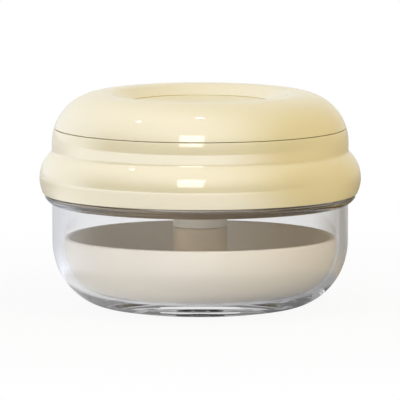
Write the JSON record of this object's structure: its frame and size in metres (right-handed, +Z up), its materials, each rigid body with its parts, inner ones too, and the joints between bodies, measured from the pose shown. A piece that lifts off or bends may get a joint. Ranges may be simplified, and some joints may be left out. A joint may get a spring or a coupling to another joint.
{
  "type": "retainer cleaning case",
  "caption": "Round retainer case: clear bowl, lift-out tray on a centre post, and a domed lid with a press button that turns the tray.",
  "frame": {"origin": "centre of the bowl's foot ring, on the surface that the case stands on", "axes": "+Z up through the post and the button; +X to the right and -Y towards the viewer"},
  "size_m": [0.1, 0.1, 0.0671],
  "materials": {
    "clear_bowl": "clear polished",
    "basket": "fine satin, cream",
    "lid_shell": "glossy, pale yellow cream",
    "inner_plastic": "satin, cream",
    "seal": "soft silicone, matte",
    "bearing": "natural low-friction plastic",
    "drive": "satin, cream",
    "collar": "satin, light cream",
    "rod": "stainless, satin",
    "screws": "stainless",
    "spring": "spring steel, drawn"
  },
  "bodies": {
    "bowl": {"outer_bowl": "clear_bowl"},
    "pivot": {"pivot_bush": "bearing"},
    "basket": {"basket_tray": "basket", "basket_post": "basket"},
    "lid": {"lid_collar": "lid_shell", "top_cover": "lid_shell", "guide_cage": "inner_plastic", "cover_screws": "screws", "inner_lid": "inner_plastic", "lid_seal": "seal", "inner_lid_screws": "screws", "hub_bush": "bearing", "shaft_seal": "seal", "return_spring": "spring"},
    "hub": {"drive_hub": "drive", "hub_collar": "collar", "helix_nut": "bearing", "nut_retainer": "drive"},
    "button": {"twist_rod": "rod", "button_plunger": "inner_plastic", "button_cap": "lid_shell", "button_screws": "screws", "rod_screw": "screws"}
  },
  "joints": [
    {"name": "basket_lift", "type": "slide", "parent": "bowl", "child": "pivot", "axis": [0, 0, 1], "range_m": [0, 0.045]},
    {"name": "basket_spin", "type": "hinge", "parent": "pivot", "child": "basket", "pos_m": [0, 0, 0], "axis": [0, 0, 1], "range_deg": [0, 180]},
    {"name": "lid_lift", "type": "slide", "parent": "pivot", "child": "lid", "axis": [0, 0, 1], "range_m": [0, 0.065]},
    {"name": "hub_spin", "type": "hinge", "parent": "lid", "child": "hub", "pos_m": [0, 0, 0.039], "axis": [0, 0, 1], "range_deg": [0, 180.5]},
    {"name": "button_press", "type": "slide", "parent": "lid", "child": "button", "axis": [0, 0, -1], "range_m": [0, 0.008], "stiffness_N_per_m": 300, "springref_m": -0.004, "deforming": ["return_spring"]}
  ],
  "couplings": [
    {"joint": "hub_spin", "follows": "button_press", "rad_per_m": 392.5},
    {"joint": "basket_spin", "follows": "button_press", "rad_per_m": 392.5}
  ]
}
